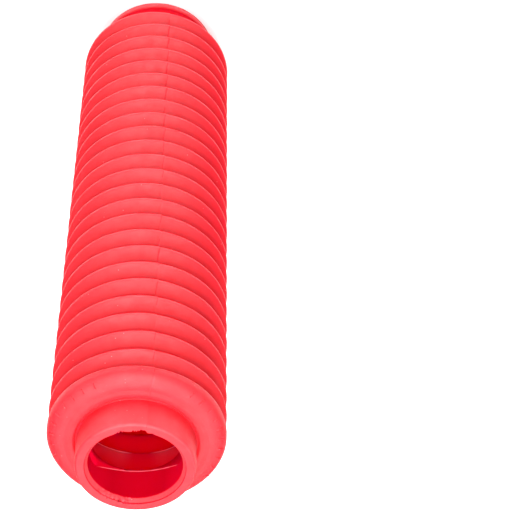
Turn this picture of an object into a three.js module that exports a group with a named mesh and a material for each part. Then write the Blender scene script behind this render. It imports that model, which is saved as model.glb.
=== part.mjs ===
import * as THREE from 'three';

// Fork gaiter: one moulded rubber bellows between a large and a small cuff.
// Millimetres, +Z up, standing on the end face of the large cuff, axis on Z.

// Folds
const foldCount = 25;
const foldPitch = 11.6;
const foldDepth = 8;
const valleyRadius = 30.5; // outer surface, at the bottom of a valley
const crestLand = 2.4; // width of the blunt crest
const valleyLand = 1;
const foldWall = 1.8;

// Large cuff, for the fork slider
const largeBoreRadius = 27.2;
const largeCuffWall = 2.2;
const largeCuffLength = 17; // end face to the root of the first fold
const beadHeight = 0.9;
const beadLength = 3.6;
const beadRound = 0.5;
const largeBoreChamfer = 0.5;

// Small cuff, for the fork tube
const smallBoreRadius = 20;
const smallCuffWall = 5.6;
const smallCuffLength = 14.6; // root on the shoulder to the mouth
const mouthRound = 1.4;
const mouthSteps = 2;
const lipWidth = 0.7; // how far the bore opens at the mouth
const lipDepth = 2.4;

// Shoulder between the last fold and the small cuff
const shoulderRise = 5.6;
const shoulderWall = 2.2;
const shoulderSteps = 4;
const collarWidth = 5.2;
const collarHeight = 0.7;
const collarRound = 0.6;

const roundSegments = 28;

// Radii
const crestRadius = valleyRadius + foldDepth;
const largeCuffRadius = largeBoreRadius + largeCuffWall;
const beadRadius = largeCuffRadius + beadHeight;
const smallCuffRadius = smallBoreRadius + smallCuffWall;
const collarRadius = smallCuffRadius + collarWidth;

// A flank runs straight from the blunt crest down to the valley
const flankRun = (foldPitch - crestLand - valleyLand) / 2;
const flankSlope = flankRun / foldDepth; // axial run for each millimetre of radius
const flankLength = Math.hypot(flankRun, foldDepth);
const wallAlongAxis = (foldWall * flankLength) / foldDepth;

// Distance along the axis from a crest to the outer and the inner skin of its flank
const outerFlank = (radius) => crestLand / 2 + (crestRadius - radius) * flankSlope;
const innerFlank = (radius) => outerFlank(radius) - wallAlongAxis;
const innerValleyRadius = valleyRadius - foldWall;
const innerPeakRadius = crestRadius - (wallAlongAxis - crestLand / 2) / flankSlope;
const innerCrestRadius = Math.min(crestRadius - foldWall, innerPeakRadius);

// Heights
const firstCrest = largeCuffLength + outerFlank(largeCuffRadius);
const lastCrest = firstCrest + (foldCount - 1) * foldPitch;
const shoulderTop = lastCrest + shoulderRise;
const collarTop = shoulderTop + collarHeight;
const mouth = shoulderTop + smallCuffLength;
const crestHeight = (fold) => firstCrest + fold * foldPitch;

// Outer skin, from the large cuff up to the mouth
function outerProfile() {
  const points = [
    [beadRadius - beadRound, 0],
    [beadRadius, beadRound],
    [beadRadius, beadLength - beadRound],
    [largeCuffRadius, beadLength + beadRound],
    [largeCuffRadius, largeCuffLength],
  ];
  for (let fold = 0; fold < foldCount; fold += 1) {
    const height = crestHeight(fold);
    points.push([crestRadius, height - crestLand / 2]);
    if (fold < foldCount - 1) {
      points.push([crestRadius, height + crestLand / 2]);
      points.push([valleyRadius, height + outerFlank(valleyRadius)]);
      points.push([valleyRadius, height + foldPitch - outerFlank(valleyRadius)]);
    }
  }
  // The shoulder is a quarter of an ellipse from the last crest to the collar
  const shoulderReach = crestRadius - collarRadius;
  for (let step = 0; step <= shoulderSteps; step += 1) {
    const angle = (step / shoulderSteps) * (Math.PI / 2);
    const radius = collarRadius + shoulderReach * Math.cos(angle);
    points.push([radius, lastCrest + shoulderRise * Math.sin(angle)]);
  }
  points.push(
    [collarRadius - collarRound, collarTop],
    [smallCuffRadius + collarRound, collarTop],
    [smallCuffRadius, shoulderTop],
  );
  // The mouth's outer edge is rounded
  for (let step = 0; step <= mouthSteps; step += 1) {
    const angle = (step / mouthSteps) * (Math.PI / 2);
    const radius = smallCuffRadius - mouthRound * (1 - Math.cos(angle));
    points.push([radius, mouth - mouthRound * (1 - Math.sin(angle))]);
  }
  return points;
}

// Inner skin, from the mouth back down to the large cuff
function innerProfile() {
  const roof = shoulderTop - shoulderWall;
  const points = [
    [smallBoreRadius + lipWidth, mouth],
    [smallBoreRadius, mouth - lipDepth],
    [smallBoreRadius, roof],
    [collarRadius - shoulderWall / 2, roof],
  ];
  for (let fold = foldCount - 1; fold >= 0; fold -= 1) {
    const height = crestHeight(fold);
    points.push([innerCrestRadius, height]);
    if (fold > 0) {
      points.push([innerValleyRadius, height - innerFlank(innerValleyRadius)]);
      points.push([innerValleyRadius, height - foldPitch + innerFlank(innerValleyRadius)]);
    }
  }
  points.push(
    [largeBoreRadius, firstCrest - innerFlank(largeBoreRadius)],
    [largeBoreRadius, largeBoreChamfer],
    [largeBoreRadius + largeBoreChamfer, 0],
  );
  return points;
}

function makeGaiter() {
  const profile = [...outerProfile(), ...innerProfile()].map(
    ([radius, height]) => new THREE.Vector2(radius, height),
  );
  profile.push(profile[0].clone());
  const geometry = new THREE.LatheGeometry(profile, roundSegments);
  const rubber = new THREE.MeshStandardMaterial({
    name: 'red_rubber',
    color: 0xe8404a,
    roughness: 0.55,
    metalness: 0,
  });
  const mesh = new THREE.Mesh(geometry, rubber);
  mesh.name = 'gaiter';
  mesh.rotation.x = Math.PI / 2; // the lathe turns about Y, the gaiter stands on Z
  return mesh;
}

const forkGaiter = new THREE.Group();
forkGaiter.add(makeGaiter());

export default forkGaiter;
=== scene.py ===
import math

import bpy
from mathutils import Matrix, Vector, noise


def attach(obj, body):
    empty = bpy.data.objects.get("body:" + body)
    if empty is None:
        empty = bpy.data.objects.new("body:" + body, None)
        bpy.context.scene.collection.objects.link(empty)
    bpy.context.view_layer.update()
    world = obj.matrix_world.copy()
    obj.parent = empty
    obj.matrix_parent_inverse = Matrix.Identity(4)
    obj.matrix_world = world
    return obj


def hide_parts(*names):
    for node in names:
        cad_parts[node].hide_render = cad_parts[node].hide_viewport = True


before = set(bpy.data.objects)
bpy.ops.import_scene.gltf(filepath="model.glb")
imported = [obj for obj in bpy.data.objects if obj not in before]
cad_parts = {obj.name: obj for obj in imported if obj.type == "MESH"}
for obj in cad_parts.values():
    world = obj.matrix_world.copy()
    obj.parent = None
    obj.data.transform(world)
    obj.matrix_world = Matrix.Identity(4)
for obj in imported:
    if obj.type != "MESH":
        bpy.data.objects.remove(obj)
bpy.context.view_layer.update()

mm = 0.001
print("frame loaded")


# Camera, placed so that the gaiter fills the same part of the picture as in the photo
cameraSetup = {
    "lookAt": (-54.0 * mm, -52.95 * mm, 250.0 * mm),
    "distance": 811.4 * mm,
    "elevation": 50.91,  # degrees above the floor, from the -Y side
    "roll": 178.84,  # the small cuff points down in the picture
    "lens": 130.7,
}


def makeCamera(setup):
    tilt = math.radians(setup["elevation"])
    roll = math.radians(setup["roll"])
    back = Vector((0, -math.cos(tilt), math.sin(tilt)))
    level = Vector((1, 0, 0))
    upright = back.cross(level)
    right = level * math.cos(roll) + upright * math.sin(roll)
    up = upright * math.cos(roll) - level * math.sin(roll)
    data = bpy.data.cameras.new("camera")
    data.lens = setup["lens"]
    data.sensor_width = 36
    camera = bpy.data.objects.new("camera", data)
    place = Vector(setup["lookAt"]) + back * setup["distance"]
    turn = [(right[i], up[i], back[i], place[i]) for i in range(3)]
    camera.matrix_world = Matrix((*turn, (0, 0, 0, 1)))
    bpy.context.collection.objects.link(camera)
    bpy.context.scene.camera = camera


makeCamera(cameraSetup)
print("camera placed")


# The gaiter's own sizes, in metres, as in the solid
gaiter = {
    "foldCount": 25,
    "foldPitch": 11.6 * mm,
    "foldDepth": 8.0 * mm,
    "valleyRadius": 30.5 * mm,
    "crestLand": 2.4 * mm,
    "valleyLand": 1.0 * mm,
    "foldWall": 1.8 * mm,
    "largeBoreRadius": 27.2 * mm,
    "largeCuffWall": 2.2 * mm,
    "largeCuffLength": 17.0 * mm,
    "beadHeight": 0.9 * mm,
    "beadLength": 3.6 * mm,
    "smallBoreRadius": 20.0 * mm,
    "smallCuffWall": 5.6 * mm,
    "smallCuffLength": 14.6 * mm,
    "mouthRound": 1.4 * mm,
    "lipDepth": 2.4 * mm,
    "shoulderRise": 5.6 * mm,
    "shoulderWall": 2.2 * mm,
    "collarWidth": 5.2 * mm,
}

# Roundings and marks that the mould leaves outside, with the outside's painted shade, painted highlights
# and painted light
moulding = {
    "columnStep": 4.0,  # degrees from one column of faces to the next
    "crestWidth": 1.2 * mm,  # a finer edge than the solid's
    # painted highlights along the crests, on the bead and on the small cuff
    "crestHighlight": 0.5,
    "crestHighlightWidth": 0.5 * mm,
    "underCrest": (-0.8 * mm, -0.3 * mm),  # painted shade: a dark line on the lower side of each crest
    # painted shade in the valleys
    "valleyShade": 0.35,
    "valleySkinRadius": 33.2 * mm,
    "flankBulge": 0.25 * mm,
    "clipGroove": 0.5 * mm,  # the band clip sits in it, between the bead and the first fold
    # painted shade in the clip groove
    "clipGrooveShade": 1.0,
    "beadHighlight": 0.45,
    "collarLift": 0.45 * mm,
    # painted shade at the small cuff's root
    "rootShade": 0.5,
    "neckHighlight": 0.24,
    "seamAngle": -104.0,  # degrees about Z, the second seam is opposite
    "seamHalfAngle": 0.55,  # degrees
    "seamDepth": 0.22 * mm,
    "seamFlash": 0.6 * mm,
    "seamMark": 0.35,
    "seamCleaned": 0.55,  # share of the seam that is gone at the small cuff
    "halfLift": 0.16 * mm,  # the two mould halves don't meet exactly
    "halfShift": 0.12 * mm,
    "unevenness": 0.07 * mm,
    "paintedRedSide": (180.0, 60.0),  # side painted a deeper red, painted light and shade for the red light from beside: its middle and half its width in degrees
    "paintedRedSideMark": 1.0,
    "paintedRedSideFolds": 10,  # how many folds the painted deeper red takes to fade out below the shoulder
}

# The lip of the mouth, trimmed with a knife; a stretch is its middle and half its width in degrees
lip = {
    "columnStep": 1.3,  # degrees, in the torn and the nicked stretch
    "ledgeWidth": 1.3 * mm,  # the step that the knife left, round the bore
    "ledgeDepth": 0.6 * mm,
    "chamfer": ((0.86 * mm, 1.1 * mm), (0.49 * mm, 1.65 * mm)),  # beyond the bore's radius, and how deep
    "chamferFoot": (0.12 * mm, 2.2 * mm),
    "boreRings": (2.8 * mm, 3.1 * mm, 3.6 * mm),  # depths that keep the nicks' shading off the bore
    "torn": (-90.0, 25.0),
    "tearDepth": 1.5 * mm,
    "nicked": (63.0, 25.0),
    "nickDepth": 1.1 * mm,
    "fleckRelief": 0.35 * mm,
    # painted shade along the knife's step
    "stepShade": 0.7,
    # painted highlight on the chamfer, stronger towards the two sides
    "chamferHighlight": 0.3,
}

# Inside the bore and the folds, which a smooth core shaped, with painted highlights and painted light at
# the two sides
inside = {
    "crestRound": 0.4 * mm,
    "crown": 0.45 * mm,  # how far the crowns between the folds are rounded off
    "neckDrop": 2.2 * mm,  # the rubber is thicker where the neck meets the shoulder's underside
    "boreHighlightRise": 0.9 * mm,  # painted highlight line in the bore, above the neck's inner edge
    "boreHighlightHalf": 17.2 * mm,  # how far it reaches to each side
    "boreHighlightClimb": 23.8 * mm,  # it climbs away from the middle by this and less by the dip
    "boreHighlightDip": 7.4 * mm,
    "boreHighlightTop": 7.0 * mm,
    "highlightedCrown": 3,  # the crown with a painted highlight line, counted down from the last crest
    "crownLineHalf": 0.4 * mm,
    "crownGloss": 0.08,
    "sideFrom": 0.55,  # the two sides are painted a brighter red, painted light, beyond this share of the radius
}

# Plain raised ticks on the shoulder, in two rows
ticks = {
    "rows": ((-64.0, 9), (-216.0, 10)),  # first angle in degrees and how many
    "spacing": 9.2,  # degrees
    "innerAngle": 58.0,  # along the shoulder's quarter round, in degrees
    "outerAngle": 36.0,
    "width": 0.7 * mm,
    "height": 0.5 * mm,
    "endHeight": 0.1 * mm,
    "sunk": 0.1 * mm,  # how far its sides reach into the shoulder
    "steps": 6,
    "mark": 0.4,
}

crestRadius = gaiter["valleyRadius"] + gaiter["foldDepth"]
largeCuffRadius = gaiter["largeBoreRadius"] + gaiter["largeCuffWall"]
smallCuffRadius = gaiter["smallBoreRadius"] + gaiter["smallCuffWall"]
collarRadius = smallCuffRadius + gaiter["collarWidth"]


# Axial run of a flank for each metre of radius, with a crest of this width
def slopeFor(crestWidth):
    return (gaiter["foldPitch"] - crestWidth - gaiter["valleyLand"]) / 2 / gaiter["foldDepth"]


flankSlope = slopeFor(moulding["crestWidth"])
flankTilt = math.atan(flankSlope)
wallAlongAxis = gaiter["foldWall"] / math.cos(flankTilt)
firstCrest = (
    gaiter["largeCuffLength"]
    + gaiter["crestLand"] / 2
    + (crestRadius - largeCuffRadius) * slopeFor(gaiter["crestLand"])
)
lastCrest = firstCrest + (gaiter["foldCount"] - 1) * gaiter["foldPitch"]
shoulderTop = lastCrest + gaiter["shoulderRise"]
mouthHeight = shoulderTop + gaiter["smallCuffLength"]

# Heights and radii inside, where each valley is a crown between two flanks
crownApex = gaiter["valleyRadius"] - gaiter["foldWall"] - inside["crown"]
roofHeight = shoulderTop - gaiter["shoulderWall"]
neckEdge = roofHeight - inside["neckDrop"]
# height of the painted highlight line in the bore
boreHighlightLine = neckEdge + inside["boreHighlightRise"]


# A closed path; a corner is (radius, height, rounding, steps) and its arc meets both sides
def roundedPath(corners):
    points = []
    for i, (radius, height, rounding, steps) in enumerate(corners):
        here = Vector((radius, height))
        if not rounding:
            points.append(here)
            continue
        before = (Vector(corners[i - 1][:2]) - here).normalized()
        after = (Vector(corners[(i + 1) % len(corners)][:2]) - here).normalized()
        half = before.angle(after) / 2
        centre = here + (before + after).normalized() * rounding / math.sin(half)
        start = here + before * rounding / math.tan(half) - centre
        end = here + after * rounding / math.tan(half) - centre
        sweep = start.angle(end)
        for step in range(steps + 1):
            t = step / steps
            arm = start * math.sin((1 - t) * sweep) + end * math.sin(t * sweep)
            points.append(centre + arm / math.sin(sweep))
    return points


# Where two flanks would meet if they ran on to a sharp edge, and the rounding that fits there
def sharpEdge(land):
    return land / 2 / flankSlope


def edgeRounding(reach):
    return reach / (1 / math.sin(flankTilt) - 1)


def flankPoints(low, high, bulge):
    points = []
    for t in (0.32, 0.66):
        here = Vector(low).lerp(Vector(high), t)
        along = (Vector(high) - Vector(low)).normalized()
        out = Vector((along.y, -along.x)) * bulge * 4 * t * (1 - t)
        points.append((*(here + out), 0, 0))
    return points


def outerCorners():
    g = gaiter
    bead = largeCuffRadius + g["beadHeight"]
    crestApex = crestRadius + sharpEdge(moulding["crestWidth"])
    valleyApex = g["valleyRadius"] - sharpEdge(g["valleyLand"])
    crestRound = edgeRounding(crestApex - crestRadius)
    valleyRound = edgeRounding(g["valleyRadius"] - valleyApex)
    halfPitch = g["foldPitch"] / 2
    corners = [
        (bead - 1.2 * mm, 0, 0, 0),
        (bead, 0, 0.5 * mm, 4),
        (bead, g["beadLength"] - 0.6 * mm, 0.6 * mm, 5),
        (largeCuffRadius - moulding["clipGroove"], g["beadLength"] + 0.2 * mm, 0.4 * mm, 4),
        (largeCuffRadius - moulding["clipGroove"], g["largeCuffLength"] - 4 * mm, 1.5 * mm, 4),
        (largeCuffRadius, g["largeCuffLength"], 0.7 * mm, 4),
    ]
    for fold in range(g["foldCount"]):
        crest = firstCrest + fold * g["foldPitch"]
        corners.append((crestApex, crest, crestRound, 5))
        if fold < g["foldCount"] - 1:
            valley = crest + halfPitch
            edge = moulding["crestWidth"] / 2
            down = ((crestRadius, crest + edge), (g["valleyRadius"], valley))
            up = ((g["valleyRadius"], valley), (crestRadius, crest + g["foldPitch"] - edge))
            corners += flankPoints(*down, -moulding["flankBulge"])
            corners.append((valleyApex, valley, valleyRound, 3))
            corners += reversed(flankPoints(*reversed(up), moulding["flankBulge"]))
    corners.pop()
    corners += shoulderCorners()
    return corners


def shoulderCorners():
    g = gaiter
    low = lastCrest - 1.9 * mm
    collarTop = shoulderTop + moulding["collarLift"]
    reach = crestRadius - collarRadius
    corners = [(crestRadius - 0.35 * mm, low, 0, 0), (crestRadius - 0.08 * mm, low + 0.9 * mm, 0, 0)]
    steps = 9
    for step in range(1, steps):
        angle = step / steps * math.pi / 2
        radius = collarRadius + reach * math.cos(angle)
        corners.append((radius, lastCrest + g["shoulderRise"] * math.sin(angle), 0, 0))
    corners += [
        (collarRadius + 0.1 * mm, shoulderTop, 3.0 * mm, 4),
        (collarRadius - 1.9 * mm, collarTop, 3.5 * mm, 4),
        (smallCuffRadius + 1.4 * mm, collarTop, 1.1 * mm, 5),
        (smallCuffRadius + 0.3 * mm, shoulderTop - 0.6 * mm, 0.25 * mm, 3),
        (smallCuffRadius, shoulderTop - 0.3 * mm, 0.15 * mm, 3),
        (smallCuffRadius, shoulderTop + g["smallCuffLength"] * 0.5, 0, 0),
        (smallCuffRadius, mouthHeight, g["mouthRound"], 7),
    ]
    return corners


def innerCorners():
    g = gaiter
    ledge = g["smallBoreRadius"] + lip["ledgeWidth"]
    ledgeHeight = mouthHeight - lip["ledgeDepth"]
    wallRadius = crestRadius - g["foldWall"]
    crestApex = crestRadius + sharpEdge(moulding["crestWidth"]) - wallAlongAxis / flankSlope
    corners = [
        (ledge + 0.7 * mm, mouthHeight, 0, 0),
        (ledge + 0.05 * mm, mouthHeight, 0.15 * mm, 2),
        (ledge - 0.1 * mm, ledgeHeight, 0.15 * mm, 3),
    ]
    for wider, deep in lip["chamfer"]:
        corners.append((g["smallBoreRadius"] + wider, mouthHeight - deep, 0, 0))
    wider, deep = lip["chamferFoot"]
    corners.append((g["smallBoreRadius"] + wider, mouthHeight - deep, 0.3 * mm, 3))
    for deep in lip["boreRings"]:
        corners.append((g["smallBoreRadius"], mouthHeight - deep, 0, 0))
    for offset in (0.4 * mm, 0, -0.4 * mm):
        corners.append((g["smallBoreRadius"], boreHighlightLine + offset, 0, 0))
    corners += [
        (g["smallBoreRadius"], neckEdge, 0.4 * mm, 4),
        (collarRadius - g["shoulderWall"] / 2, roofHeight, 2.0 * mm, 4),
    ]
    for fold in reversed(range(g["foldCount"])):
        crest = firstCrest + fold * g["foldPitch"]
        corners.append((min(crestApex, wallRadius + 0.3 * mm), crest, inside["crestRound"], 2))
        if fold:
            corners.append((crownApex, crest - g["foldPitch"] / 2, edgeRounding(inside["crown"]), 4))
    boreTop = firstCrest - (crestRadius - g["largeBoreRadius"]) * flankSlope
    corners += [
        (g["largeBoreRadius"], boreTop - moulding["crestWidth"] / 2 + wallAlongAxis, 1.0 * mm, 4),
        (g["largeBoreRadius"], 9 * mm, 0, 0),
        (g["largeBoreRadius"], 0, 0.5 * mm, 4),
    ]
    return corners


# 1 in the middle of a stretch of the way round, 0 past its ends
def inStretch(turn, stretch):
    middle, half = stretch
    away = abs(math.remainder(turn - math.radians(middle), 2 * math.pi))
    return max(0, 1 - away / math.radians(half))


# Angles round the gaiter: even, but close together where the lip is torn or nicked and at the two seams
def columnAngles():
    seam = math.radians(moulding["seamAngle"])
    fine = math.radians(moulding["seamHalfAngle"])
    seamTurns = [seam + side * math.pi for side in (0, 1)]
    turns = [turn + offset * fine for turn in seamTurns for offset in (-2.4, -1, 0, 1, 2.4)]
    degrees = 0
    while degrees < 360:
        turn = math.radians(degrees)
        if all(abs(math.remainder(turn - other, 2 * math.pi)) > 3 * fine for other in seamTurns):
            turns.append(turn)
        worked = inStretch(turn, lip["torn"]) + inStretch(turn, lip["nicked"])
        degrees += lip["columnStep"] if worked else moulding["columnStep"]
    columns = []
    for turn in turns:
        gap = (turn - seam) % (2 * math.pi)
        side = int(gap >= math.pi)
        columns.append((seam + gap, gap - side * math.pi, side))
    return sorted(columns)


# The seam is cleaner towards the small cuff
def seamStrength(height):
    return 1 - moulding["seamCleaned"] * height / mouthHeight


# How much a column belongs to the seam: 1 on it, 0 beside it
def nearSeam(angle):
    fine = math.radians(moulding["seamHalfAngle"])
    return max(0, 1 - min(angle, math.pi - angle) / fine)


def seamRelief(angle, side, height):
    inFold = (height - firstCrest) / gaiter["foldPitch"]
    fold = round(inFold)
    lumps = noise.noise(Vector((height * 900, side * 7.3, 1.7)))
    flash = max(0, noise.noise(Vector((fold * 3.7, side * 5.1, 4.2))) + 0.1)
    onCrest = max(0, 1 - abs(inFold - fold) * 5)
    relief = moulding["seamFlash"] * flash * onCrest - moulding["seamDepth"] * (1 + 0.6 * lumps)
    return relief * nearSeam(angle) * seamStrength(height)


def mouldedShift(turn, side, height):
    inFolds = firstCrest - 4 * mm < height < lastCrest + 4 * mm
    if not inFolds or not side:
        return Vector((0, 0))
    seam = math.radians(moulding["seamAngle"])
    return Vector((-moulding["halfShift"] * math.cos(turn - seam), moulding["halfLift"]))


# The seam shows in pieces between the folds, and hardly on the shoulder and the cuffs
def seamShows(side, height):
    patchy = noise.noise(Vector((height * 260, side * 7.3, 8.0)))
    return patchy > (0.3 * height / lastCrest - 0.05 if firstCrest < height < lastCrest else 0.5)


# The lip was trimmed with a knife, so it is torn on one side and nicked on the other
def lipTear(turn):
    depth = 0.2 + 1.6 * noise.noise(Vector((turn * 31, 4.4, 2.0)))
    return lip["tearDepth"] * min(1, 2.5 * inStretch(turn, lip["torn"])) * min(1, max(0, depth))


def lipNick(turn, height):
    depth = noise.noise(Vector((turn * 40, height * 900, 9.0)))
    return lip["nickDepth"] * min(1, 2 * inStretch(turn, lip["nicked"])) * depth


def lipFleck(turn, height):
    fleck = noise.noise(Vector((turn * 34, height * 1400, 7.0))) - 0.02
    return min(1, 3 * inStretch(turn, lip["nicked"])) * max(0, fleck) * 4


# Painted light and shade: 1 where the side is painted its deepest red, for the red light from beside; it
# fades out towards the shoulder
def paintedRedSide(turn, height):
    reach = moulding["paintedRedSideFolds"] * gaiter["foldPitch"]
    fromShoulder = min(1, max(0, (lastCrest - height) / reach))
    return fromShoulder * min(1, 1.6 * inStretch(turn, moulding["paintedRedSide"]))


# How far a point lies above the crest of its fold
def overCrest(point):
    fold = round((point.y - firstCrest) / gaiter["foldPitch"])
    return point.y - firstCrest - fold * gaiter["foldPitch"]


# Painted shade: a deeper colour in the clip groove, in the valleys towards their bottoms, in a line under
# each crest and at the small cuff's root
def paintedShadeMark(point):
    if point.y < gaiter["largeCuffLength"] + 2 * mm:
        return moulding["clipGrooveShade"] if point.y > gaiter["beadLength"] - 0.4 * mm else 0
    if point.y > lastCrest:
        atRoot = point.x < smallCuffRadius + 0.9 * mm and point.y < shoulderTop + 0.1 * mm
        return moulding["rootShade"] if atRoot else 0
    if moulding["underCrest"][0] - 0.2 * mm < overCrest(point) < moulding["underCrest"][1]:
        return 1
    depth = (crestRadius - point.x) / gaiter["foldDepth"]
    return moulding["valleyShade"] * min(1, max(0, (depth - 0.5) / 0.3))  # full at 0.8 of the depth


# Painted highlights: on the bead at the end, on the small cuff, and along the crest of each fold
def edgeHighlight(turn, point):
    if point.y < gaiter["beadLength"] - 0.4 * mm:
        return moulding["beadHighlight"]
    if point.y > shoulderTop and point.x < smallCuffRadius + 0.2 * mm:
        uneven = 1 + 0.9 * noise.noise(Vector((turn * 3, point.y * 20, 3.0)))
        return moulding["neckHighlight"] * uneven * min(1, 1.25 - 1.25 * math.cos(turn))
    fold = round((point.y - firstCrest) / gaiter["foldPitch"])
    if not 0 <= fold < gaiter["foldCount"]:
        return 0
    fromCrest = abs(overCrest(point) - 0.2 * mm)
    patchy = 0.9 - 0.012 * fold + 0.4 * noise.noise(Vector((turn * 6, fold * 2.3, 5.0)))
    # the painted crest highlights are weaker on the side painted deeper red
    patchy *= 1 - 0.7 * paintedRedSide(turn, point.y) * min(1, fold / 10)
    return moulding["crestHighlight"] * patchy * max(0, 1 - fromCrest / moulding["crestHighlightWidth"])


# The painted highlight line lies lowest at the back of the bore and climbs to its sides
def boreHighlightLift(turn):
    climb = inside["boreHighlightClimb"] * (1 - math.sin(turn)) - inside["boreHighlightDip"] * math.cos(turn) ** 2
    return min(inside["boreHighlightTop"], climb)


# a painted highlight on the bore, along that line
def boreHighlightAmount(turn, point):
    onLine = abs(point.y - boreHighlightLine) < 0.1 * mm and point.x < gaiter["smallBoreRadius"] + 0.1 * mm
    if not onLine or math.sin(turn) < 0:
        return 0
    reach = abs(math.cos(turn)) * point.x / inside["boreHighlightHalf"]
    fade = min(1, max(0, (1 - reach) * 8))
    return fade * (1 + 0.5 * noise.noise(Vector((turn * 7, 2.2, 1.0))))


# One crown inside carries a painted highlight line at its sides
def crownHighlight(turn, point):
    inFold = (point.y - firstCrest) / gaiter["foldPitch"] - 0.5
    fromEdge = abs(inFold - round(inFold)) * gaiter["foldPitch"]
    if round(inFold) != gaiter["foldCount"] - inside["highlightedCrown"] or point.x > gaiter["valleyRadius"]:
        return 0
    sideways = min(1, max(0, abs(math.cos(turn)) * point.x / (5 * mm) - 0.7))
    return min(1, max(0, inside["crownLineHalf"] - fromEdge) / (0.17 * mm)) * sideways


# Painted light: the inside is a brighter red at its two sides
def innerSideLight(turn):
    return max(0, (abs(math.cos(turn)) - inside["sideFrom"]) / (1 - inside["sideFrom"]))


# Where the stretches of the profile begin, as places in its path
def findStarts(path):
    ledgeRadius = gaiter["smallBoreRadius"] + lip["ledgeWidth"]
    ledgeHeight = mouthHeight - lip["ledgeDepth"]
    lipEnd = mouthHeight - gaiter["lipDepth"]
    tests = {
        "mouth": lambda point: point.y > mouthHeight - 1e-6,
        "cut": lambda point: point.x < ledgeRadius + 0.8 * mm,
        "step": lambda point: point.x < ledgeRadius + 0.3 * mm,
        "chamfer": lambda point: point.y < ledgeHeight + 0.1 * mm,
        "bore": lambda point: point.y < lipEnd,
        "folds": lambda point: point.y < neckEdge + 0.01 * mm,
    }
    starts = {}
    reached = 0
    for name, isThere in tests.items():
        reached = next(i for i in range(reached, len(path)) if isThere(path[i]))
        starts[name] = reached
    return starts


# The material slot of each kind of surface, in the order of "rubberLooks" at the end
zone = {"skin": 0, "cut": 1, "bore": 2, "folds": 3, "valley": 4, "nick": 5}


# Outside, by the middle of a ring of faces; the clip groove and the strip under each crest take the duller
# skin as painted shade
def outerZone(middle):
    under = moulding["underCrest"][0] < overCrest(middle) < moulding["underCrest"][1]
    if gaiter["beadLength"] - 0.4 * mm < middle.y < gaiter["largeCuffLength"]:
        return "cut"
    if under and gaiter["largeCuffLength"] < middle.y < lastCrest:
        return "cut"
    inValley = firstCrest < middle.y < lastCrest and middle.x < moulding["valleySkinRadius"]
    return "valley" if inValley else "skin"


def findZones(path, starts):
    zones = []
    for i, point in enumerate(path):
        if i >= starts["folds"]:
            zones.append("folds")
        elif i >= starts["bore"] - 1:
            zones.append("bore")
        elif starts["step"] <= i < starts["chamfer"]:
            zones.append("nick")
        else:
            zones.append("skin" if i >= starts["mouth"] else outerZone((point + path[i + 1]) / 2))
    return zones


def awayFromEnds(point):
    return 0.2 * mm < point.y < mouthHeight - 0.1 * mm


# A place in the noise, the same for the relief and the marks of a point
def noiseSpot(turn, point):
    direction = Vector((math.cos(turn), math.sin(turn), 0))
    return direction * point.x * 40 + Vector((0, 0, point.y * 60))


# Where a point of the profile comes to lie on one column, as radius and height
def movedPoint(i, point, normal, column, starts):
    turn, angle, side = column
    place = point.copy()
    if awayFromEnds(point):
        place += normal * moulding["unevenness"] * noise.noise(noiseSpot(turn, point))
        if i < starts["mouth"]:
            place += normal * seamRelief(angle, side, point.y)
            place += mouldedShift(turn, side, point.y)
    if starts["cut"] <= i < starts["bore"]:
        below = (mouthHeight - point.y) / gaiter["lipDepth"]
        place.x += lipTear(turn) + lipNick(turn, point.y) * max(0, 1 - 2 * below)
        if i >= starts["chamfer"]:
            place += normal * lip["fleckRelief"] * min(1, lipFleck(turn, point.y))
    if abs(point.y - boreHighlightLine) < 0.45 * mm and i >= starts["bore"]:
        place.y += boreHighlightLift(turn)
    return min(place.x, crestRadius), min(max(place.y, 0), mouthHeight)


# What is painted on a point: how deep its colour is, with painted shade and painted light, its painted
# highlight, and its gloss
def paintedPoint(i, point, column, starts):
    turn, angle, side = column
    if i >= starts["folds"]:
        paintedHighlight = crownHighlight(turn, point)
        return innerSideLight(turn), paintedHighlight, inside["crownGloss"] * paintedHighlight
    if i >= starts["bore"]:
        return innerSideLight(turn), boreHighlightAmount(turn, point), 0
    if i >= starts["chamfer"]:
        # the chamfer's flecks, and a painted highlight stronger towards the two sides
        return lipFleck(turn, point.y), lip["chamferHighlight"] * abs(math.cos(turn)), 0
    if i >= starts["step"]:
        # painted shade along the knife's step
        return lip["stepShade"] + 0.7 * noise.noise(Vector((turn * 9, 3, 1))), 0, 0
    if i >= starts["mouth"] or not awayFromEnds(point):
        return 0, 0, 0
    patchy = (0.6 + noise.noise(noiseSpot(turn, point) * 30)) * seamStrength(point.y)
    seam = moulding["seamMark"] * nearSeam(angle) * patchy
    # besides the seams, the deep colour is painted shade, and painted light on one side
    deep = max(seam, paintedShadeMark(point), moulding["paintedRedSideMark"] * paintedRedSide(turn, point.y))
    return deep, edgeHighlight(turn, point), 0


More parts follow.
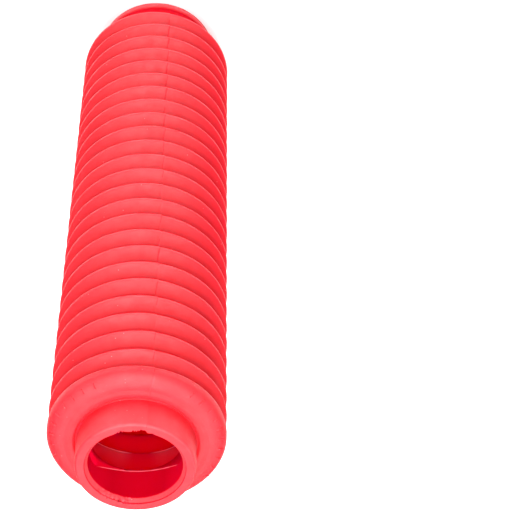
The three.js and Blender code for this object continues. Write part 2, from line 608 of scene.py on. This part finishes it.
def makeGaiterMesh():
    path = roundedPath(outerCorners() + innerCorners())
    count = len(path)
    starts = findStarts(path)
    zones = findZones(path, starts)
    normals = []
    for i in range(count):
        along = (path[(i + 1) % count] - path[i - 1]).normalized()
        normals.append(Vector((along.y, -along.x)))
    columns = columnAngles()
    vertices = []
    painted = {"marksAndPaintedLight": [], "paintedHighlight": [], "gloss": []}
    for column in columns:
        direction = Vector((math.cos(column[0]), math.sin(column[0]), 0))
        for i, point in enumerate(path):
            radius, height = movedPoint(i, point, normals[i], column, starts)
            vertices.append(direction * radius + Vector((0, 0, height)))
            deep, pale, gloss = paintedPoint(i, point, column, starts)
            painted["marksAndPaintedLight"].append(min(1, max(0, deep)))
            painted["paintedHighlight"].append(pale)
            painted["gloss"].append(gloss)
    faces = []
    finishes = []
    for c, (turn, angle, side) in enumerate(columns):
        nextColumn = (c + 1) % len(columns)
        onSeam = nearSeam(angle) + nearSeam(columns[nextColumn][1]) > 0
        for i in range(count):
            j = (i + 1) % count
            faces.append((c * count + i, nextColumn * count + i, nextColumn * count + j, c * count + j))
            plain = i < starts["mouth"] and zones[i] == "skin"
            seamHere = plain and onSeam and seamShows(side, path[i].y)
            finishes.append(zone["valley" if seamHere else zones[i]])
    return vertices, faces, finishes, painted


def makeTick(turn, vertices, faces):
    steps = ticks["steps"]
    sunk = -ticks["sunk"]
    first = len(vertices)
    outer = math.radians(ticks["outerAngle"])
    inner = math.radians(ticks["innerAngle"])
    for step in range(steps + 1):
        along = outer + (inner - outer) * step / steps
        radius = collarRadius + (crestRadius - collarRadius) * math.cos(along)
        height = lastCrest + gaiter["shoulderRise"] * math.sin(along)
        raised = ticks["endHeight"] if step in (0, steps) else ticks["height"]
        for across, lift in ((-0.5, sunk), (-0.25, raised), (0.25, raised), (0.5, sunk)):
            a = turn + across * ticks["width"] / radius
            outward = radius + lift * math.cos(along)
            upward = height + lift * math.sin(along)
            vertices.append(Vector((math.cos(a) * outward, math.sin(a) * outward, upward)))
    for step in range(steps):
        for k in range(3):
            a = first + step * 4 + k
            faces.append((a, a + 1, a + 5, a + 4))
    faces.append((first, first + 4 * steps, first + 4 * steps + 3, first + 3))
    faces.append((first + 3, first + 2, first + 1, first))
    last = first + 4 * steps
    faces.append((last, last + 1, last + 2, last + 3))


def makeGaiter():
    vertices, faces, finishes, painted = makeGaiterMesh()
    for firstAngle, howMany in ticks["rows"]:
        for i in range(howMany):
            makeTick(math.radians(firstAngle + i * ticks["spacing"]), vertices, faces)
    painted["marksAndPaintedLight"] += [ticks["mark"]] * (len(vertices) - len(painted["marksAndPaintedLight"]))
    finishes += [0] * (len(faces) - len(finishes))
    mesh = bpy.data.meshes.new("gaiterRubber")
    mesh.from_pydata(vertices, [], faces)
    mesh.shade_smooth()
    for name, values in painted.items():
        values += [0] * (len(vertices) - len(values))
        mesh.attributes.new(name, "FLOAT", "POINT").data.foreach_set("value", values)
    mesh.polygons.foreach_set("material_index", finishes)
    piece = bpy.data.objects.new("gaiterRubber", mesh)
    bpy.context.collection.objects.link(piece)
    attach(piece, "root")
    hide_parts("gaiter")
    print("gaiter made,", len(faces) * 2, "triangles")
    return piece


# Red rubber, coloured all through: a satin moulded skin with fine grain, flow marks and dust
outerSkin = {
    "deepColour": (0.51, 0.001, 0.011, 1),
    "lightColour": (0.65, 0.020, 0.028, 1),
    "markAndPaintedLightColour": (0.58, 0.001, 0.012, 1),  # where the mesh is painted deep: the seams, the painted shade in grooves, valleys, under the crests and at the root, and the painted deeper red on one side
    "highlightColour": (0.86, 0.10, 0.12, 1),  # of the painted highlights on edges and lines
    "dustColour": (0.92, 0.30, 0.30, 1),
    "dustAmount": 0.4,
    "smooth": 0.50,
    "rough": 0.64,
    "flowStrength": 0.36,
    "grainStrength": 0.5,
    "specular": 0.41,
    "coatRoughness": 0.1,  # of the coat on the crown with the painted highlight line, the only place with a coat
    "scatterWeight": 0.7,
    "scatterDepth": 2.5 * mm,
    "scatterTint": (1.0, 0.04, 0.06),  # light passes the thin walls
}

# A duller copy of the skin, without dust: painted shade in the clip groove and in the strip under each
# crest
cutSkin = {
    **outerSkin,
    "dustAmount": 0.0,
    "smooth": 0.7,
    "rough": 0.85,
    "specular": 0.1,
}
valleySkin = {**outerSkin, "specular": 0.22}

# The fresh cut of the knife's step; its dark mark colour is painted shade that draws the step as a dark
# line
nickSkin = {
    **cutSkin,
    "deepColour": (0.50, 0.005, 0.014, 1),
    "lightColour": (0.54, 0.008, 0.018, 1),
    "markAndPaintedLightColour": (0.20, 0.001, 0.008, 1),
    "scatterWeight": 0.0,
}

# The core was polished, so the inside is smoother, and it carries no dust; its deeper red is painted shade,
# the same rubber drawn darker inside
boreSkin = {
    **outerSkin,
    "deepColour": (0.405, 0.0003, 0.009, 1),
    "lightColour": (0.445, 0.0005, 0.010, 1),
    # the mark colour is the painted light at the bore's two sides
    "markAndPaintedLightColour": (0.68, 0.0010, 0.020, 1),
    "highlightColour": (1.0, 0.13, 0.19, 1),
    "dustAmount": 0.0,
    "smooth": 0.12,
    "rough": 0.20,
    "flowStrength": 0.35,
    "grainStrength": 0.1,
    "specular": 0.0,
    "scatterWeight": 0.5,
    "scatterDepth": 4.0 * mm,
}
# The folds inside are drawn lighter than the bore: painted light for light that passes their thin walls
foldInside = {
    **boreSkin,
    "deepColour": (0.49, 0.0005, 0.018, 1),
    "lightColour": (0.53, 0.0006, 0.020, 1),
    # the mark colour is the painted light at the two sides of the folds
    "markAndPaintedLightColour": (1.0, 0.010, 0.050, 1),
    "highlightColour": (1.0, 0.085, 0.13, 1),
    "scatterWeight": 1.0,
    "scatterDepth": 8.0 * mm,
}
skinTexture = {
    "mottleScale": 38.0,
    "flowScale": 240.0,
    "flowRange": (0.3, 0.7),  # of the noise, from smooth to rough
    "flowDepth": 0.25 * mm,
    "grainScale": 2600.0,
    "grainDepth": 0.05 * mm,
    "dustScale": 190.0,
    "dustSize": (0.03, 0.05),
}

# The group's inputs, and the value of a finish that each one takes
skinInputs = {
    "Deep Colour": "deepColour",
    "Light Colour": "lightColour",
    "Mark And Painted Light Colour": "markAndPaintedLightColour",
    "Highlight Colour": "highlightColour",
    "Dust Colour": "dustColour",
    "Dust Amount": "dustAmount",
    "Smooth": "smooth",
    "Rough": "rough",
    "Flow Strength": "flowStrength",
    "Grain Strength": "grainStrength",
}


def addNode(tree, kind, place, **values):
    node = tree.nodes.new(kind)
    node.location = place
    for name, value in values.items():
        node.inputs[name].default_value = value
    return node


# Reads what is painted on the mesh
def addPainted(tree, name, place):
    node = tree.nodes.new("ShaderNodeAttribute")
    node.attribute_name = name
    node.location = place
    return node.outputs["Fac"]


# Mixes two colours; a Mix node's colour sockets are numbers 6 and 7, and its result is number 2
def mixColours(tree, place, factor, first, second):
    node = tree.nodes.new("ShaderNodeMix")
    node.data_type = "RGBA"
    node.location = place
    for number, source in ((0, factor), (6, first), (7, second)):
        tree.links.new(source, node.inputs[number])
    return node.outputs[2]


def addSkinSockets(tree):
    for name in skinInputs:
        kind = "NodeSocketColor" if name.endswith("Colour") else "NodeSocketFloat"
        tree.interface.new_socket(name=name, in_out="INPUT", socket_type=kind)
    tree.interface.new_socket(name="Colour", in_out="OUTPUT", socket_type="NodeSocketColor")
    tree.interface.new_socket(name="Roughness", in_out="OUTPUT", socket_type="NodeSocketFloat")
    tree.interface.new_socket(name="Normal", in_out="OUTPUT", socket_type="NodeSocketVector")


# Group: colour, roughness and fine relief of the rubber's skin
def makeSkinGroup(texture):
    tree = bpy.data.node_groups.new("rubberSkin", "ShaderNodeTree")
    addSkinSockets(tree)
    link = tree.links.new
    given = addNode(tree, "NodeGroupInput", (-1400, 0)).outputs
    result = addNode(tree, "NodeGroupOutput", (400, 0)).inputs
    spot = addNode(tree, "ShaderNodeTexCoord", (-1400, -400))
    mottle = addNode(tree, "ShaderNodeTexNoise", (-1100, 400), Scale=texture["mottleScale"], Detail=3)
    flow = addNode(tree, "ShaderNodeTexNoise", (-1100, 100), Scale=texture["flowScale"], Detail=4)
    grain = addNode(tree, "ShaderNodeTexNoise", (-1100, -200), Scale=texture["grainScale"], Detail=2)
    speck = addNode(tree, "ShaderNodeTexVoronoi", (-1100, -500), Scale=texture["dustScale"])
    for pattern in (mottle, flow, grain, speck):
        link(spot.outputs["Object"], pattern.inputs["Vector"])

    marksAndPaintedLight = addPainted(tree, "marksAndPaintedLight", (-800, 100))
    paintedHighlight = addPainted(tree, "paintedHighlight", (-800, -100))
    lowest, highest = texture["dustSize"]
    dust = addNode(tree, "ShaderNodeMapRange", (-800, -500))
    dust.inputs["From Min"].default_value = lowest
    dust.inputs["From Max"].default_value = highest
    dust.inputs["To Max"].default_value = 0
    link(speck.outputs["Distance"], dust.inputs["Value"])
    link(given["Dust Amount"], dust.inputs["To Min"])
    tone = mixColours(tree, (-800, 400), mottle.outputs["Fac"], given["Deep Colour"], given["Light Colour"])
    # the marks: seams and ticks, with painted shade and painted light
    marked = mixColours(tree, (-550, 400), marksAndPaintedLight, tone, given["Mark And Painted Light Colour"])
    # the painted highlights, over the marked colour
    highlighted = mixColours(tree, (-420, 600), paintedHighlight, marked, given["Highlight Colour"])
    dusty = mixColours(tree, (-300, 400), dust.outputs["Result"], highlighted, given["Dust Colour"])
    link(dusty, result["Colour"])

    lowest, highest = texture["flowRange"]
    sheen = addNode(tree, "ShaderNodeMapRange", (-550, -50))
    sheen.inputs["From Min"].default_value = lowest
    sheen.inputs["From Max"].default_value = highest
    link(flow.outputs["Fac"], sheen.inputs["Value"])
    link(given["Smooth"], sheen.inputs["To Min"])
    link(given["Rough"], sheen.inputs["To Max"])
    link(sheen.outputs["Result"], result["Roughness"])

    flowBump = addNode(tree, "ShaderNodeBump", (-300, -300), Distance=texture["flowDepth"])
    grainBump = addNode(tree, "ShaderNodeBump", (0, -300), Distance=texture["grainDepth"])
    link(flow.outputs["Fac"], flowBump.inputs["Height"])
    link(given["Flow Strength"], flowBump.inputs["Strength"])
    link(grain.outputs["Fac"], grainBump.inputs["Height"])
    link(given["Grain Strength"], grainBump.inputs["Strength"])
    link(flowBump.outputs["Normal"], grainBump.inputs["Normal"])
    link(grainBump.outputs["Normal"], result["Normal"])
    return tree


def makeRubber(name, look, skinGroup):
    material = bpy.data.materials.new(name)
    material.use_nodes = True
    tree = material.node_tree
    shader = tree.nodes["Principled BSDF"]
    shader.inputs["IOR"].default_value = 1.5  # rubber
    shader.inputs["Specular IOR Level"].default_value = look["specular"]
    shader.inputs["Subsurface Weight"].default_value = look["scatterWeight"]
    shader.inputs["Subsurface Radius"].default_value = look["scatterTint"]
    shader.inputs["Subsurface Scale"].default_value = look["scatterDepth"]
    shader.inputs["Coat Roughness"].default_value = look["coatRoughness"]
    skin = tree.nodes.new("ShaderNodeGroup")
    skin.node_tree = skinGroup
    skin.location = (-350, 100)
    for socket, key in skinInputs.items():
        skin.inputs[socket].default_value = look[key]
    tree.links.new(skin.outputs["Colour"], shader.inputs["Base Color"])
    tree.links.new(skin.outputs["Roughness"], shader.inputs["Roughness"])
    tree.links.new(skin.outputs["Normal"], shader.inputs["Normal"])
    tree.links.new(addPainted(tree, "gloss", (-350, -300)), shader.inputs["Coat Weight"])
    return material


# Floor and light: a white table under one large softbox, and a weaker one behind
studio = {
    "floorSize": 6.0,
    "floorColour": (0.82, 0.82, 0.82, 1),
    "floorRoughness": 0.9,
    "surroundings": 0.08,
    "aim": (0, 0, 0.18),
    "softbox": {"power": 86.0, "size": (1.5, 2.4), "place": (0.03, -0.55, 1.42)},
    "backSoftbox": {"power": 20.0, "size": (1.8, 1.2), "place": (0, 1.05, 1.45)},
}


def makeFloor(setup):
    half = setup["floorSize"] / 2
    mesh = bpy.data.meshes.new("floor")
    corners = [(-half, -half, 0), (half, -half, 0), (half, half, 0), (-half, half, 0)]
    mesh.from_pydata(corners, [], [(0, 1, 2, 3)])
    floor = bpy.data.objects.new("floor", mesh)
    bpy.context.collection.objects.link(floor)
    material = bpy.data.materials.new("paleFloor")
    material.use_nodes = True
    shader = material.node_tree.nodes["Principled BSDF"]
    shader.inputs["Base Color"].default_value = setup["floorColour"]
    shader.inputs["Roughness"].default_value = setup["floorRoughness"]
    mesh.materials.append(material)


def makeLight(name, setup, aim):
    data = bpy.data.lights.new(name, "AREA")
    data.shape = "RECTANGLE"
    data.size, data.size_y = setup["size"]
    data.energy = setup["power"]
    light = bpy.data.objects.new(name, data)
    light.location = setup["place"]
    light.rotation_mode = "QUATERNION"
    light.rotation_quaternion = (Vector(aim) - Vector(setup["place"])).to_track_quat("-Z", "Y")
    bpy.context.collection.objects.link(light)


def makeStudio(setup):
    makeFloor(setup)
    makeLight("softbox", setup["softbox"], setup["aim"])
    makeLight("backSoftbox", setup["backSoftbox"], setup["aim"])
    world = bpy.data.worlds.new("studio")
    world.use_nodes = True
    world.node_tree.nodes["Background"].inputs["Color"].default_value = (1, 1, 1, 1)
    world.node_tree.nodes["Background"].inputs["Strength"].default_value = setup["surroundings"]
    bpy.context.scene.world = world
    bpy.context.scene.view_settings.view_transform = "Standard"


gaiterPiece = makeGaiter()
skinGroup = makeSkinGroup(skinTexture)

# The material slots, in the order that "zone" counts them
rubberLooks = {
    "redRubber": outerSkin,
    "redRubberCut": cutSkin,
    "redRubberBore": boreSkin,
    "redRubberFolds": foldInside,
    "redRubberValley": valleySkin,
    "redRubberNick": nickSkin,
}
for name, look in rubberLooks.items():
    gaiterPiece.data.materials.append(makeRubber(name, look, skinGroup))
makeStudio(studio)
print("materials and light set")
